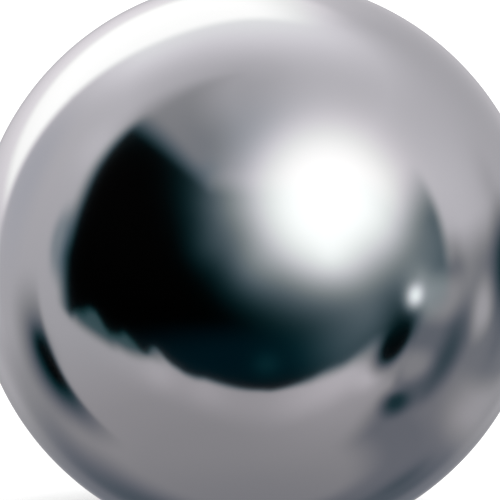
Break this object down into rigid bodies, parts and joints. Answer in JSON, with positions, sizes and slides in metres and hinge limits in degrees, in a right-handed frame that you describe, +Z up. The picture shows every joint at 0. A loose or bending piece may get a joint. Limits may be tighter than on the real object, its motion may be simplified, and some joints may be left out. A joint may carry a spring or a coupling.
{
  "type": "steel ball",
  "caption": "Solid steel ball, lapped to a true sphere and mirror polished all over, that rolls in a race or seats in a cup, ring or socket.",
  "frame": {"origin": "centre of the ball", "axes": "+Z up, opposite to the seat that holds the ball; every axis through the centre is an axis of symmetry, so +X and +Y are free"},
  "size_m": [0.0254, 0.0254, 0.0254],
  "materials": {
    "polished_steel": "polished"
  },
  "bodies": {
    "root": {"ball": "polished_steel"}
  },
  "joints": []
}
